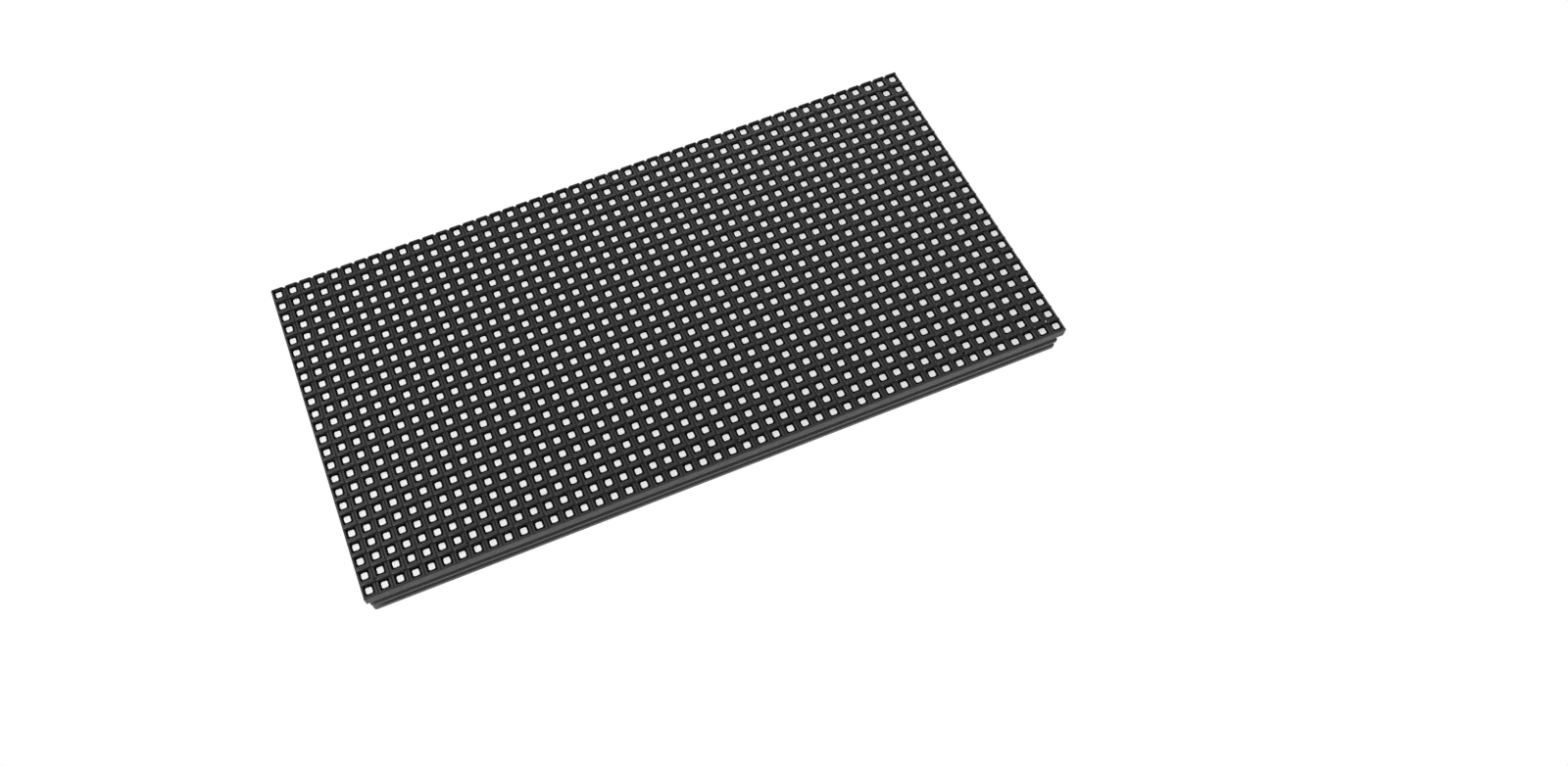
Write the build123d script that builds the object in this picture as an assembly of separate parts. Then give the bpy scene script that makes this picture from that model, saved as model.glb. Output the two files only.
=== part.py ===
from build123d import *
import os

# LED display module, 320 x 160 mm, 48 x 24 pixels, upright in its own frame.
# X runs to the right along a pixel row as the display is watched, Z runs up,
# and the lit face looks towards -Y. The origin is the centre of the rear
# mounting face. Every depth below counts from that face towards the display.

# Pixel grid and overall size
MODULE_WIDTH = 320.0
MODULE_HEIGHT = 160.0
PIXEL_COLUMNS = 48
PIXEL_ROWS = 24

# Depth of each layer
PLATE_THICKNESS = 2.0
BOARD_BACK = 12.8
BOARD_THICKNESS = 1.6
LAMP_HEIGHT = 1.4
POTTING_THICKNESS = 0.4
MASK_THICKNESS = 0.9
LOUVRE_LENGTH = 1.0
LOUVRE_THICKNESS = 0.6

# Front mask
MASK_INSET = 0.2
BAR_WIDTH = 2.17  # between neighbouring windows
LAMP_GAP = 0.65  # between a lamp and the edge of its window
SKIRT_LENGTH = 2.9
SKIRT_THICKNESS = 1.0
EDGE_GAP = 0.2

# Rear frame: outer profile
FLANGE_INSET = 0.9
EDGE_RIB_INSET = 0.8
WALL_INSET = 2.7
WALL_THICKNESS = 2.0
EDGE_RIB_DEPTH = 5.2
EDGE_RIB_WIDTH = 1.5
CORNER_RADIUS = 1.2

# Rear frame: lattice of T-shaped ribs, their places counted in pixels
RIB_COLUMNS = (8, 16)
SPINE_COLUMN = 1
RIB_ROW = 5
WEB_THICKNESS = 2.0
RIB_HALF_WIDTH = 4.6
LIP_WIDTH = 3.0
LIP_RADIUS = 3.4
CHANNEL_DEPTH = 0.8
POCKET_RADIUS = 2.6
POCKET_MARGIN_X = 15.8
POCKET_MARGIN_Z = 16.1
PAD_WIDTH = 10.8
PAD_RADIUS = 3.0
PAD_GAP = 6.4

# Mounting inserts and their bosses
INSERT_OUTER_X = 123.5
INSERT_INNER_X = 31.7
INSERT_SIDE_Z = 43.2
INSERT_EDGE = 10.35
INSERT_RADIUS = 3.5
INSERT_BORE_RADIUS = 1.65
INSERT_LENGTH = 8.0
BOSS_RADIUS = 4.9
BOSS_FLOOR = 1.4
BOSS_SHOULDER = 5.3
FIT_GAP = 0.03

# Sealing gasket in its groove, and the two locating pins inside its line
BAND_THICKNESS = 3.2
BAND_SET_BACK = 0.6
GASKET_WIDTH = 7.7
GASKET_GROOVE_DEPTH = 1.2
GASKET_THICKNESS = 2.0
GASKET_RING_RADIUS = 8.1
GASKET_PIN_RING_RADIUS = 6.0
GASKET_CORNER_RADIUS = 2.5
GASKET_GAP = 0.12
PIN_X = 70.3
PIN_RADIUS = 1.75
PIN_HEIGHT = 5.0
PIN_CHAMFER = 0.7
PIN_COLLAR_RADIUS = 2.5

# Screws that hold mask and board on the frame, counted in pixels from the centre
SCREW_COLUMNS_AND_ROWS = ((23, 11), (17, 11), (1, 11), (23, 5), (16, 5), (1, 5))
SCREW_HEAD_RADIUS = 0.9
SCREW_HEAD_HEIGHT = 0.4
SCREW_SHANK_RADIUS = 0.6
SCREW_LENGTH = 10.0
SCREW_GAP = 0.1
SCREW_SIDES = 8  # flats on the small screws and their holes, which keep the model light
PLUG_WALL = 0.3  # wall of the plugs that keep the potting out of the screw holes
POST_SIZE = 5.0

# Driver chips, in six columns and six rows, places in pixels
CHIP_COLUMNS = (5.1, 13.1, 21.1)
CHIP_ROWS = (3.1, 6.2, 9.3)
CHIP_LENGTH = 8.65
CHIP_WIDTH = 3.9
CHIP_HEIGHT = 1.55
CHIP_STANDOFF = 0.15
CHIP_LEAD_SPAN = 6.0
CHIP_LEAD_THICKNESS = 0.2
CHIP_LEAD_FOOT = 0.6

# Larger logic chips and the small row switches
LOGIC_CHIPS = ((21.1, 0.9), (-12.7, 1.9), (9.9, 3.4))
LOGIC_LENGTH = 7.2
LOGIC_WIDTH = 5.3
LOGIC_HEIGHT = 1.8
LOGIC_LEAD_SPAN = 7.6
SWITCH_CHIPS = ((15.0, -1.5), (14.2, 1.6), (10.2, 1.6), (3.0, 2.6), (-2.6, 2.6), (-10.3, 2.4))
SWITCH_LENGTH = 4.9
SWITCH_WIDTH = 3.9

# Electrolytic capacitors, places in pixels
CAPACITORS = ((19.35, -7.47), (12.55, -0.5), (6.6, -0.55), (4.95, -7.6), (-3.75, -0.5),
              (-2.5, -3.2), (-3.15, -8.6), (-14.2, -0.85), (-19.9, -7.7), (-19.9, 7.8),
              (19.35, 7.8), (4.95, 7.7), (-3.15, 8.6))
CAN_RADIUS = 3.15
CAN_HEIGHT = 5.4
CAN_NECK_RADIUS = 2.85
CAN_NECK_HEIGHT = 1.2
CAP_BASE_SIZE = 6.6
CAP_BASE_HEIGHT = 0.9
CAP_BASE_CHAMFER = 1.3

# Small resistors and capacitors beside each driver chip
CHIP_PART_OFFSET_X = -8.3
CHIP_PART_OFFSET_Z = 2.6
CHIP_PART_SPACING = 2.4
CHIP_PART_LENGTH = 2.0
CHIP_PART_WIDTH = 1.25
RESISTOR_HEIGHT = 0.5
CERAMIC_HEIGHT = 0.9

# Ribbon-cable headers, places in pixels
HEADER_COLUMN = 18.9
HEADER_ROW = 0.1
HEADER_LENGTH = 27.9
HEADER_WIDTH = 8.8
HEADER_HEIGHT = 8.9
HEADER_WALL = 1.1
HEADER_FLOOR = 2.4
HEADER_KEY_WIDTH = 4.5
HEADER_KEY_DEPTH = 6.0
HEADER_PIN_PITCH = 2.54
HEADER_PIN_ROWS = 2
HEADER_PIN_COUNT = 8
HEADER_PIN_SIZE = 0.64
HEADER_PIN_RECESS = 1.6
HEADER_FOOT_REACH = 1.9

# Power connector, place in pixels
POWER_COLUMN = 4.78
POWER_ROW = -0.3
POWER_PITCH = 3.96
POWER_PIN_COUNT = 4
POWER_PIN_SIZE = 1.14
POWER_PIN_HEIGHT = 8.2
POWER_WIDTH = 7.7
POWER_END = 2.0
POWER_BASE_HEIGHT = 3.3
POWER_LOCK_HEIGHT = 8.4
POWER_LOCK_THICKNESS = 1.3
POWER_FOOT_REACH = 2.2

# Bare labels on the board, places in pixels
LABEL_THICKNESS = 0.1
BLUE_LABELS = ((-11.6, 4.4, 30.0, 4.8), (-11.6, 0.05, 28.0, 5.4))
STAMP_PLACE = (-10.5, -2.3)
STAMP_LENGTH = 10.5
STAMP_WIDTH = 8.6
STAMP_TILT = 30.0

# Values that follow from those above
PITCH_X = MODULE_WIDTH / PIXEL_COLUMNS
PITCH_Z = MODULE_HEIGHT / PIXEL_ROWS
WINDOW_TALL = PITCH_Z - BAR_WIDTH
LAMP_TALL = WINDOW_TALL - 2 * LAMP_GAP
LAMP_WIDE = PITCH_X - BAR_WIDTH - 2 * LAMP_GAP
HALF_WIDTH = MODULE_WIDTH / 2
HALF_HEIGHT = MODULE_HEIGHT / 2
BOARD_FRONT = BOARD_BACK + BOARD_THICKNESS
POTTING_BACK = BOARD_FRONT + LAMP_HEIGHT
MASK_BACK = POTTING_BACK + POTTING_THICKNESS
MASK_FRONT = MASK_BACK + MASK_THICKNESS
LOUVRE_TIP = MASK_FRONT + LOUVRE_LENGTH
BOARD_INSET = MASK_INSET + SKIRT_THICKNESS + EDGE_GAP
GASKET_GROOVE_WIDTH = GASKET_WIDTH + 2 * GASKET_GAP


def slab(outline, near, far):
    """Solid of an outline drawn in X and Z, from depth near to depth far."""
    return extrude(Plane.XZ.offset(near) * outline, amount=far - near)


def at(x, z, outline):
    """The outline moved to a place on the module's face."""
    return Pos(x, z) * outline


def on_grid(column, row):
    """The place that lies so many pixels from the module's centre."""
    return column * PITCH_X, row * PITCH_Z


def mirrored(x, z):
    """A place and its mirror images about both centre lines."""
    return [(side * x, level * z) for side in (-1, 1) for level in (-1, 1)]


def block(width, height, inset=0.0):
    """Plain rectangle about the centre, drawn in by the same inset all round."""
    return Rectangle(width - 2 * inset, height - 2 * inset)


def module_outline(inset, radius=0.0):
    """The module's outline, drawn in by an inset, with rounded corners where asked."""
    if radius:
        return RectangleRounded(MODULE_WIDTH - 2 * inset, MODULE_HEIGHT - 2 * inset, radius)
    return block(MODULE_WIDTH, MODULE_HEIGHT, inset)


def group(shapes):
    """One node's separate solids, gathered without joining them."""
    return Compound([solid for shape in shapes for solid in shape.solids()])


def insert_places():
    edge_z = HALF_HEIGHT - INSERT_EDGE
    edge_x = HALF_WIDTH - INSERT_EDGE
    places = mirrored(INSERT_OUTER_X, edge_z)
    places += mirrored(INSERT_INNER_X, edge_z)
    places += mirrored(edge_x, INSERT_SIDE_Z)
    return places


def pin_places():
    edge_z = HALF_HEIGHT - INSERT_EDGE
    return [(-PIN_X, edge_z), (PIN_X, -edge_z)]


def screw_places():
    return [place for column, row in SCREW_COLUMNS_AND_ROWS for place in mirrored(*on_grid(column, row))]


def screw_outline(radius):
    """Section of a mask screw, or of a hole for it, with flats at the radius."""
    return RegularPolygon(radius, SCREW_SIDES, major_radius=False)


def screw_holes(radius):
    """Outlines of the holes that the mask screws pass through."""
    return [at(x, z, screw_outline(radius)) for x, z in screw_places()]


def gasket_outline(gap):
    """Closed band with a ring round every insert and pin; gap draws it in on each side."""
    centre_x = HALF_WIDTH - INSERT_EDGE
    centre_z = HALF_HEIGHT - INSERT_EDGE
    half = GASKET_GROOVE_WIDTH / 2 - gap
    outer = RectangleRounded(2 * (centre_x + half), 2 * (centre_z + half), GASKET_CORNER_RADIUS)
    inner = RectangleRounded(2 * (centre_x - half), 2 * (centre_z - half), GASKET_CORNER_RADIUS)
    band = outer - inner
    rings = [at(x, z, Circle(GASKET_RING_RADIUS - gap)) for x, z in insert_places()]
    rings += [at(x, z, Circle(GASKET_PIN_RING_RADIUS - gap)) for x, z in pin_places()]
    holes = [at(x, z, Circle(BOSS_RADIUS + gap)) for x, z in insert_places()]
    holes += [at(x, z, Circle(PIN_COLLAR_RADIUS + gap)) for x, z in pin_places()]
    return band + rings - holes


def span_limits(lines, margin):
    """Start and end of each opening between neighbouring ribs, from the centre outwards."""
    edges = [lines[0] + RIB_HALF_WIDTH]
    for line in lines[1:]:
        edges += [line - RIB_HALF_WIDTH, line + RIB_HALF_WIDTH]
    return edges + [margin]


def pocket_spans():
    """Every pocket as its low and high X and its low and high Z."""
    limit_x = HALF_WIDTH - POCKET_MARGIN_X
    limit_z = HALF_HEIGHT - POCKET_MARGIN_Z
    lines = [SPINE_COLUMN * PITCH_X] + [column * PITCH_X for column in RIB_COLUMNS]
    edges = span_limits(lines, limit_x)
    right = [(edges[i], edges[i + 1]) for i in range(0, len(edges), 2)]
    columns = [(-high, -low) for low, high in reversed(right)] + right
    rib_z = RIB_ROW * PITCH_Z
    rows = [(-limit_z, -rib_z - RIB_HALF_WIDTH), (-rib_z + RIB_HALF_WIDTH, rib_z - RIB_HALF_WIDTH),
            (rib_z + RIB_HALF_WIDTH, limit_z)]
    return [(x0, x1, z0, z1) for x0, x1 in columns for z0, z1 in rows]


def span_outline(span, radius, grow=0.0):
    x0, x1, z0, z1 = span
    outline = RectangleRounded(x1 - x0 + 2 * grow, z1 - z0 + 2 * grow, radius)
    return at((x0 + x1) / 2, (z0 + z1) / 2, outline)


def boss_shoulders(set_back=0.0):
    """Discs of solid plate round the insert bosses, drawn in by a set-back."""
    radius = BOSS_RADIUS + BOSS_SHOULDER - set_back
    return Sketch() + [at(x, z, Circle(radius)) for x, z in insert_places()]


def pocket_field(grow):
    """The field that holds all pockets, grown on every side."""
    return block(2 * (HALF_WIDTH - POCKET_MARGIN_X), 2 * (HALF_HEIGHT - POCKET_MARGIN_Z), -grow)


def spine_pads():
    """Raised pads down the middle of the spine, one behind each row of pockets."""
    rib_z = RIB_ROW * PITCH_Z
    limit_z = HALF_HEIGHT - POCKET_MARGIN_Z
    tall = 2 * rib_z - PAD_GAP
    short = limit_z - rib_z - PAD_GAP
    centre = (limit_z + rib_z) / 2
    pads = RectangleRounded(PAD_WIDTH, tall, PAD_RADIUS)
    pads += at(0, centre, RectangleRounded(PAD_WIDTH, short, PAD_RADIUS))
    pads += at(0, -centre, RectangleRounded(PAD_WIDTH, short, PAD_RADIUS))
    return pads


def frame_webs():
    """Webs under the ribs and the spine, and the posts that the mask screws bite in."""
    inner_width = MODULE_WIDTH - 2 * (WALL_INSET + WALL_THICKNESS / 2)
    inner_height = MODULE_HEIGHT - 2 * (WALL_INSET + WALL_THICKNESS / 2)
    webs = []
    for column in (SPINE_COLUMN,) + RIB_COLUMNS:
        for side in (-1, 1):
            webs.append(at(side * column * PITCH_X, 0, Rectangle(WEB_THICKNESS, inner_height)))
    for side in (-1, 1):
        webs.append(at(0, side * RIB_ROW * PITCH_Z, Rectangle(inner_width, WEB_THICKNESS)))
    posts = [at(x, z, Rectangle(POST_SIZE, POST_SIZE)) for x, z in screw_places()]
    return Sketch() + webs + posts


def frame_walls():
    """Everything of the frame that is added: plate, wall, edge rib, band, webs and bosses."""
    wall_out = module_outline(WALL_INSET, CORNER_RADIUS)
    wall_in = module_outline(WALL_INSET + WALL_THICKNESS)
    band = wall_out - pocket_field(BAND_SET_BACK) + (boss_shoulders(BAND_SET_BACK) & wall_out)
    edge_rib = module_outline(EDGE_RIB_INSET, CORNER_RADIUS) - wall_in
    bosses = Sketch() + [at(x, z, Circle(BOSS_RADIUS)) for x, z in insert_places()]
    plate = slab(module_outline(FLANGE_INSET, CORNER_RADIUS), 0, PLATE_THICKNESS)
    return plate + [
        slab(wall_out - wall_in, 0, BOARD_BACK),
        slab(edge_rib, EDGE_RIB_DEPTH, EDGE_RIB_DEPTH + EDGE_RIB_WIDTH),
        slab(band, 0, BAND_THICKNESS),
        slab(frame_webs(), PLATE_THICKNESS / 2, BOARD_BACK),
        slab(bosses, PLATE_THICKNESS / 2, INSERT_LENGTH + BOSS_FLOOR),
    ]


def frame_cuts():
    """Everything that is cut from the frame: pockets, channels, groove and bores."""
    shoulders = boss_shoulders()
    spans = pocket_spans()
    channel_reach = POCKET_MARGIN_X - INSERT_EDGE - GASKET_WIDTH / 2
    pockets = Sketch() + [span_outline(span, POCKET_RADIUS) for span in spans]
    lips = Sketch() + [span_outline(span, LIP_RADIUS, LIP_WIDTH) for span in spans]
    sockets = Sketch() + [at(x, z, Circle(INSERT_RADIUS + FIT_GAP)) for x, z in insert_places()]
    pilots = Sketch() + screw_holes(SCREW_SHANK_RADIUS + FIT_GAP)
    return [
        slab(pockets - shoulders, 0, BAND_THICKNESS),
        slab(pocket_field(channel_reach) - lips - spine_pads() - shoulders, 0, CHANNEL_DEPTH),
        slab(gasket_outline(0), 0, GASKET_GROOVE_DEPTH),
        slab(sockets, 0, INSERT_LENGTH),
        slab(pilots, MASK_FRONT - SCREW_LENGTH - SCREW_GAP, BOARD_BACK),
    ]


def locating_pin(x, z):
    shaft = slab(Circle(PIN_RADIUS), -PIN_HEIGHT, GASKET_GROOVE_DEPTH / 2)
    tip = shaft.faces().sort_by(Axis.Y)[-1]
    return Pos(x, 0, z) * chamfer(tip.edges(), PIN_CHAMFER)


def rear_frame():
    """Moulded rear frame: plate with pockets, T-shaped ribs, wall, bosses and pins."""
    frame = frame_walls() - frame_cuts()
    frame += [locating_pin(x, z) for x, z in pin_places()]
    return frame.solid()


def sealing_gasket():
    near = GASKET_GROOVE_DEPTH - GASKET_THICKNESS
    return slab(gasket_outline(GASKET_GAP), near, GASKET_GROOVE_DEPTH)


def threaded_inserts():
    sleeve = slab(Circle(INSERT_RADIUS), 0, INSERT_LENGTH)
    sleeve -= slab(Circle(INSERT_BORE_RADIUS), 0, INSERT_LENGTH)
    return group([Pos(x, 0, z) * sleeve for x, z in insert_places()])


def circuit_board():
    board = module_outline(BOARD_INSET) - screw_holes(SCREW_SHANK_RADIUS + SCREW_GAP)
    return slab(board, BOARD_BACK, BOARD_FRONT)


def lamp_rows():
    """Each pixel row's lamps as one strip; the layers in front part it into squares."""
    length = MODULE_WIDTH - PITCH_X + LAMP_WIDE
    strip = slab(Rectangle(length, LAMP_TALL), BOARD_FRONT, POTTING_BACK)
    return group([Pos(0, 0, (row + 0.5) * PITCH_Z - HALF_HEIGHT) * strip for row in range(PIXEL_ROWS)])


def potting_layer():
    """Black sealing layer; its upright slots part the lamps of a row."""
    sheet = slab(module_outline(BOARD_INSET), POTTING_BACK, MASK_BACK)
    length = MODULE_HEIGHT - PITCH_Z + LAMP_TALL
    slot = slab(Rectangle(LAMP_WIDE, length), POTTING_BACK, MASK_BACK)
    hole = slab(Circle(SCREW_SHANK_RADIUS + PLUG_WALL), POTTING_BACK, MASK_BACK)
    slots = [Pos((column + 0.5) * PITCH_X - HALF_WIDTH, 0, 0) * slot for column in range(PIXEL_COLUMNS)]
    return sheet - (slots + [Pos(x, 0, z) * hole for x, z in screw_places()])


def front_mask():
    """Mask with a window slot and a louvre for each pixel row, and a skirt round its edge."""
    face = module_outline(MASK_INSET)
    length = MODULE_WIDTH - BAR_WIDTH
    row_places = [(row + 0.5) * PITCH_Z - HALF_HEIGHT for row in range(PIXEL_ROWS)]
    slots = [at(0, z, Rectangle(length, WINDOW_TALL)) for z in row_places]
    face -= slots + screw_holes(SCREW_SHANK_RADIUS + SCREW_GAP)
    mask = slab(face, MASK_BACK, MASK_FRONT)
    skirt = module_outline(MASK_INSET) - module_outline(MASK_INSET + SKIRT_THICKNESS)
    mask += slab(skirt, BOARD_FRONT - SKIRT_LENGTH, MASK_FRONT)
    louvre = Rectangle(MODULE_WIDTH - 2 * MASK_INSET, LOUVRE_THICKNESS, align=(Align.CENTER, Align.MIN))
    louvres = Sketch() + [at(0, z + WINDOW_TALL / 2, louvre) for z in row_places]
    louvres -= screw_holes(SCREW_HEAD_RADIUS + SCREW_GAP)
    return mask + slab(louvres, MASK_FRONT, LOUVRE_TIP)


def mask_screws():
    screw = slab(screw_outline(SCREW_SHANK_RADIUS), MASK_FRONT - SCREW_LENGTH, MASK_FRONT)
    screw += slab(screw_outline(SCREW_HEAD_RADIUS), MASK_FRONT, MASK_FRONT + SCREW_HEAD_HEIGHT)
    return group([Pos(x, 0, z) * screw for x, z in screw_places()])


def chip_bodies(places, length, width, height):
    top = BOARD_BACK - CHIP_STANDOFF - height
    body = slab(Rectangle(width, length), top, BOARD_BACK - CHIP_STANDOFF)
    return group([Pos(x, 0, z) * body for x, z in places])


def driver_places():
    corners = [on_grid(column, row) for column in CHIP_COLUMNS for row in CHIP_ROWS]
    return [place for corner in corners for place in mirrored(*corner)]


def driver_chips():
    return chip_bodies(driver_places(), CHIP_LENGTH, CHIP_WIDTH, CHIP_HEIGHT)


def driver_chip_leads():
    """One bent strip for the row of leads on each side of a driver chip."""
    reach = (CHIP_LEAD_SPAN - CHIP_WIDTH) / 2
    rise = CHIP_STANDOFF + CHIP_HEIGHT / 2
    outside = reach - CHIP_LEAD_FOOT
    inside = outside - CHIP_LEAD_THICKNESS
    profile = Polyline((0, rise), (outside, rise), (outside, CHIP_LEAD_THICKNESS),
                       (reach, CHIP_LEAD_THICKNESS), (reach, 0), (inside, 0),
                       (inside, rise - CHIP_LEAD_THICKNESS), (0, rise - CHIP_LEAD_THICKNESS), close=True)
    seat = Plane(origin=(CHIP_WIDTH / 2, -BOARD_BACK, 0), x_dir=(1, 0, 0), z_dir=(0, 0, 1))
    strip = extrude(seat * make_face(profile), amount=CHIP_LENGTH / 2, both=True)
    pair = [strip, mirror(strip, Plane.YZ)]
    return group([Pos(x, 0, z) * side for x, z in driver_places() for side in pair])


def logic_chips():
    return chip_bodies([on_grid(*place) for place in LOGIC_CHIPS], LOGIC_LENGTH, LOGIC_WIDTH, LOGIC_HEIGHT)


def row_switch_chips():
    return chip_bodies([on_grid(*place) for place in SWITCH_CHIPS], SWITCH_LENGTH, SWITCH_WIDTH, CHIP_HEIGHT)


def capacitor_bases():
    outline = Rectangle(CAP_BASE_SIZE, CAP_BASE_SIZE)
    left = outline.vertices().group_by(Axis.X)[0]
    outline = chamfer(left, CAP_BASE_CHAMFER)
    base = slab(outline, BOARD_BACK - CAP_BASE_HEIGHT, BOARD_BACK)
    return group([Pos(x, 0, z) * base for x, z in [on_grid(*place) for place in CAPACITORS]])


def capacitor_cans():
    """Aluminium cans, each drawn in to a crimped neck above the base."""
    foot = BOARD_BACK - CAP_BASE_HEIGHT
    can = slab(Circle(CAN_RADIUS), foot - CAN_HEIGHT, foot - CAN_NECK_HEIGHT)
    can += slab(Circle(CAN_NECK_RADIUS), foot - CAN_NECK_HEIGHT, foot)
    return group([Pos(x, 0, z) * can for x, z in [on_grid(*place) for place in CAPACITORS]])


def small_parts(step, height):
    part = slab(Rectangle(CHIP_PART_WIDTH, CHIP_PART_LENGTH), BOARD_BACK - height, BOARD_BACK)
    places = [(x + CHIP_PART_OFFSET_X + step, z + CHIP_PART_OFFSET_Z) for x, z in driver_places()]
    return group([Pos(x, 0, z) * part for x, z in places])


def chip_resistors():
    return small_parts(0.0, RESISTOR_HEIGHT)


def chip_capacitors():
    return small_parts(CHIP_PART_SPACING, CERAMIC_HEIGHT)


def box_header(side):
    """Shrouded header with a key notch in the wall that faces the module's centre."""
    x, z = on_grid(side * HEADER_COLUMN, HEADER_ROW)
    rim = BOARD_BACK - HEADER_HEIGHT
    body = slab(Rectangle(HEADER_WIDTH, HEADER_LENGTH), rim, BOARD_BACK)
    body -= slab(block(HEADER_WIDTH, HEADER_LENGTH, HEADER_WALL), rim, BOARD_BACK - HEADER_FLOOR)
    notch = at(-side * (HEADER_WIDTH - HEADER_WALL) / 2, 0, Rectangle(HEADER_WALL, HEADER_KEY_WIDTH))
    body -= slab(notch, rim, rim + HEADER_KEY_DEPTH)
    hole = slab(block(HEADER_PIN_SIZE, HEADER_PIN_SIZE), BOARD_BACK - HEADER_FLOOR, BOARD_BACK)
    body -= [Pos(px, 0, pz) * hole for px, pz in header_pin_places()]
    return Pos(x, 0, z) * body


def header_pin_places():
    across = [(i - (HEADER_PIN_ROWS - 1) / 2) * HEADER_PIN_PITCH for i in range(HEADER_PIN_ROWS)]
    along = [(j - (HEADER_PIN_COUNT - 1) / 2) * HEADER_PIN_PITCH for j in range(HEADER_PIN_COUNT)]
    return [(x, z) for x in across for z in along]


def header_pins(side):
    x, z = on_grid(side * HEADER_COLUMN, HEADER_ROW)
    tip = BOARD_BACK - HEADER_HEIGHT + HEADER_PIN_RECESS
    pin = slab(block(HEADER_PIN_SIZE, HEADER_PIN_SIZE), tip, BOARD_BACK)
    return group([Pos(x + px, 0, z + pz) * pin for px, pz in header_pin_places()])


def power_pin_places():
    return [(0.0, (i - (POWER_PIN_COUNT - 1) / 2) * POWER_PITCH) for i in range(POWER_PIN_COUNT)]


def power_connector():
    """Base block with a friction-lock wall along one side."""
    x, z = on_grid(POWER_COLUMN, POWER_ROW)
    length = (POWER_PIN_COUNT - 1) * POWER_PITCH + 2 * POWER_END
    body = slab(Rectangle(POWER_WIDTH, length), BOARD_BACK - POWER_BASE_HEIGHT, BOARD_BACK)
    lock = at((POWER_WIDTH - POWER_LOCK_THICKNESS) / 2, 0, Rectangle(POWER_LOCK_THICKNESS, length))
    body += slab(lock, BOARD_BACK - POWER_LOCK_HEIGHT, BOARD_BACK)
    hole = slab(block(POWER_PIN_SIZE, POWER_PIN_SIZE), BOARD_BACK - POWER_BASE_HEIGHT, BOARD_BACK)
    body -= [Pos(px, 0, pz) * hole for px, pz in power_pin_places()]
    return Pos(x, 0, z) * body


def power_connector_pins():
    x, z = on_grid(POWER_COLUMN, POWER_ROW)
    pin = slab(block(POWER_PIN_SIZE, POWER_PIN_SIZE), BOARD_BACK - POWER_PIN_HEIGHT, BOARD_BACK)
    return group([Pos(x + px, 0, z + pz) * pin for px, pz in power_pin_places()])


def blue_labels():
    labels = []
    for column, row, length, width in BLUE_LABELS:
        x, z = on_grid(column, row)
        labels.append(slab(at(x, z, Rectangle(length, width)), BOARD_BACK - LABEL_THICKNESS, BOARD_BACK))
    return group(labels)


def inspection_label():
    x, z = on_grid(*STAMP_PLACE)
    oval = Rot(0, 0, STAMP_TILT) * Ellipse(STAMP_WIDTH / 2, STAMP_LENGTH / 2)
    return slab(at(x, z, oval), BOARD_BACK - LABEL_THICKNESS, BOARD_BACK)


NODES = {
    "rear_frame": rear_frame,
    "sealing_gasket": sealing_gasket,
    "threaded_inserts": threaded_inserts,
    "circuit_board": circuit_board,
    "lamp_rows": lamp_rows,
    "potting_layer": potting_layer,
    "front_mask": front_mask,
    "mask_screws": mask_screws,
    "driver_chips": driver_chips,
    "driver_chip_leads": driver_chip_leads,
    "logic_chips": logic_chips,
    "row_switch_chips": row_switch_chips,
    "capacitor_bases": capacitor_bases,
    "capacitor_cans": capacitor_cans,
    "chip_resistors": chip_resistors,
    "chip_capacitors": chip_capacitors,
    "input_header": lambda: box_header(1),
    "input_header_pins": lambda: header_pins(1),
    "output_header": lambda: box_header(-1),
    "output_header_pins": lambda: header_pins(-1),
    "power_connector": power_connector,
    "power_connector_pins": power_connector_pins,
    "blue_labels": blue_labels,
    "inspection_label": inspection_label,
}

os.makedirs("parts", exist_ok=True)
for name, make in NODES.items():
    export_step(make(), f"parts/{name}.step")
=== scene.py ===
import math

import bpy
from bpy.props import FloatProperty, FloatVectorProperty
from mathutils import Matrix, Vector


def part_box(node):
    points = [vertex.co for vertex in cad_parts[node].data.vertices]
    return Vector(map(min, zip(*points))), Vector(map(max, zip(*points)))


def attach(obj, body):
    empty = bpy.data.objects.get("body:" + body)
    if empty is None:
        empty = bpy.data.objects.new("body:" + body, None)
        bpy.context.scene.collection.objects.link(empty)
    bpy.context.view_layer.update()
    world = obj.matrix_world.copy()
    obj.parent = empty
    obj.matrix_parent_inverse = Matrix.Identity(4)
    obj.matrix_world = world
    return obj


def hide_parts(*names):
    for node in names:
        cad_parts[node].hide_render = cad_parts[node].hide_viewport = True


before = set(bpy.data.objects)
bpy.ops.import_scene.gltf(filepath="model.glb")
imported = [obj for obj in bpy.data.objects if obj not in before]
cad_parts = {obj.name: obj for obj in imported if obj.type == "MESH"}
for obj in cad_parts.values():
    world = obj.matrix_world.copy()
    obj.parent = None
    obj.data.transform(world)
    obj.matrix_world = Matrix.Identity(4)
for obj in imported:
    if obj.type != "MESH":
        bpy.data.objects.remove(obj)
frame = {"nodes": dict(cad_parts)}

bl_info = {
    "name": "LED display module",
    "version": (1, 0, 0),
    "blender": (4, 5, 0),
    "location": "3D View > Sidebar > Display",
    "description": "Dresses a square-pitch outdoor LED display module",
    "category": "Object",
}

MM = 0.001
QUARTER = math.pi / 2
COLUMNS = 48
ROWS = 24
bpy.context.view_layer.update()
MASK_LOW, MASK_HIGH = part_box("front_mask")
BOARD_LOW, BOARD_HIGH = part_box("circuit_board")
POTTING_LOW, POTTING_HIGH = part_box("potting_layer")
BOARD_BACK = BOARD_HIGH.y
BOARD_FRONT = BOARD_LOW.y
MASK_BACK = POTTING_LOW.y
# What is nearer than NEAR passes a test for a place, and points nearer than MERGE become one
NEAR = 0.01 * MM
MERGE = 0.000005


# Sizes and colours that a user would change

def length(name, description, millimetres):
    return FloatProperty(name=name, description=description, default=millimetres * MM,
                         unit="LENGTH", precision=5)


def colour(name, description, red, green, blue):
    return FloatVectorProperty(name=name, description=description, default=(red, green, blue),
                               subtype="COLOR", size=3, min=0.0, max=1.0)


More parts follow.
